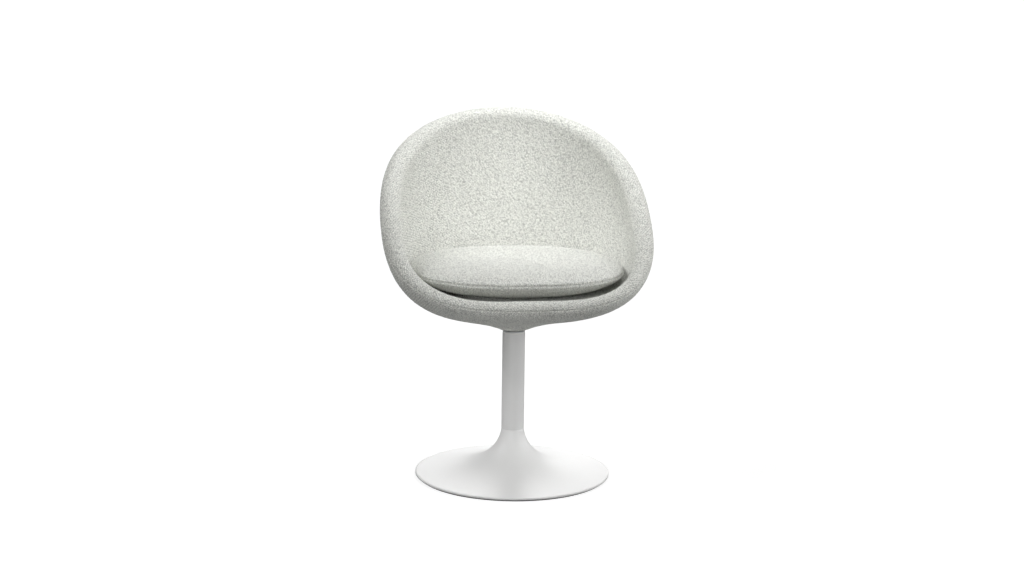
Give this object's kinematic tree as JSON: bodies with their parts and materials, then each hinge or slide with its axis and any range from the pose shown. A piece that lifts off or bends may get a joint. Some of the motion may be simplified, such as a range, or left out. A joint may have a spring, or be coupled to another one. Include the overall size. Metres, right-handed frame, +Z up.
{
  "type": "pedestal swivel armchair",
  "caption": "Upholstered off-white boucle bucket armchair with a loose round seat cushion, turning on a white round column and trumpet base",
  "frame": {"origin": "on the floor, on the axis of the column and of the swivel", "axes": "+Z up, the chair faces -Y, +X to the right of someone who looks at its front"},
  "size_m": [0.59, 0.5506, 0.791],
  "materials": {
    "powder_coat": "satin white powder coat",
    "boucle": "off-white boucle weave",
    "foam": "cream upholstery foam",
    "grey_shell": "moulded grey shell",
    "plywood": "birch plywood",
    "bare_steel": "zinc plated steel",
    "cast_iron": "raw grey cast iron",
    "black_plastic": "moulded black plastic",
    "white_plastic": "moulded white plastic"
  },
  "bodies": {
    "base": {"trumpet_base": "powder_coat", "base_ballast": "cast_iron", "base_glide_ring": "black_plastic", "joint_ring": "bare_steel", "stand_tube": "powder_coat", "tube_plug": "bare_steel", "tie_rod": "bare_steel", "tie_washer": "bare_steel", "tie_nut": "bare_steel", "guide_sleeve": "white_plastic", "lower_race": "bare_steel"},
    "cage": {"ball_cage": "white_plastic", "bearing_balls": "bare_steel"},
    "seat": {"upper_race": "bare_steel", "swivel_spindle": "bare_steel", "spindle_washer": "bare_steel", "spindle_clip": "bare_steel", "spindle_hub": "bare_steel", "swivel_plate": "bare_steel", "plate_bolts": "bare_steel", "bolt_washers": "bare_steel", "board_nuts": "bare_steel", "seat_board": "plywood", "neck_shroud": "black_plastic", "shell_core": "grey_shell", "outer_pad": "foam", "outer_cover": "boucle", "inner_foam": "foam", "inner_cover": "boucle", "hook_discs": "black_plastic"},
    "cushion": {"cushion_foam": "foam", "cushion_top_cover": "boucle", "cushion_bottom_cover": "boucle", "loop_discs": "white_plastic"}
  },
  "joints": [
    {"name": "seat_swivel", "type": "hinge", "parent": "base", "child": "seat", "pos_m": [0, 0, 0.33], "axis": [0, 0, 1], "continuous": true},
    {"name": "cage_turn", "type": "hinge", "parent": "base", "child": "cage", "pos_m": [0, 0, 0.33], "axis": [0, 0, 1], "continuous": true},
    {"name": "cushion_lift", "type": "slide", "parent": "seat", "child": "cushion", "axis": [0, -0.342, 0.9397], "range_m": [0, 0.22]}
  ],
  "couplings": [
    {"joint": "cage_turn", "follows": "seat_swivel", "ratio": 0.5}
  ]
}
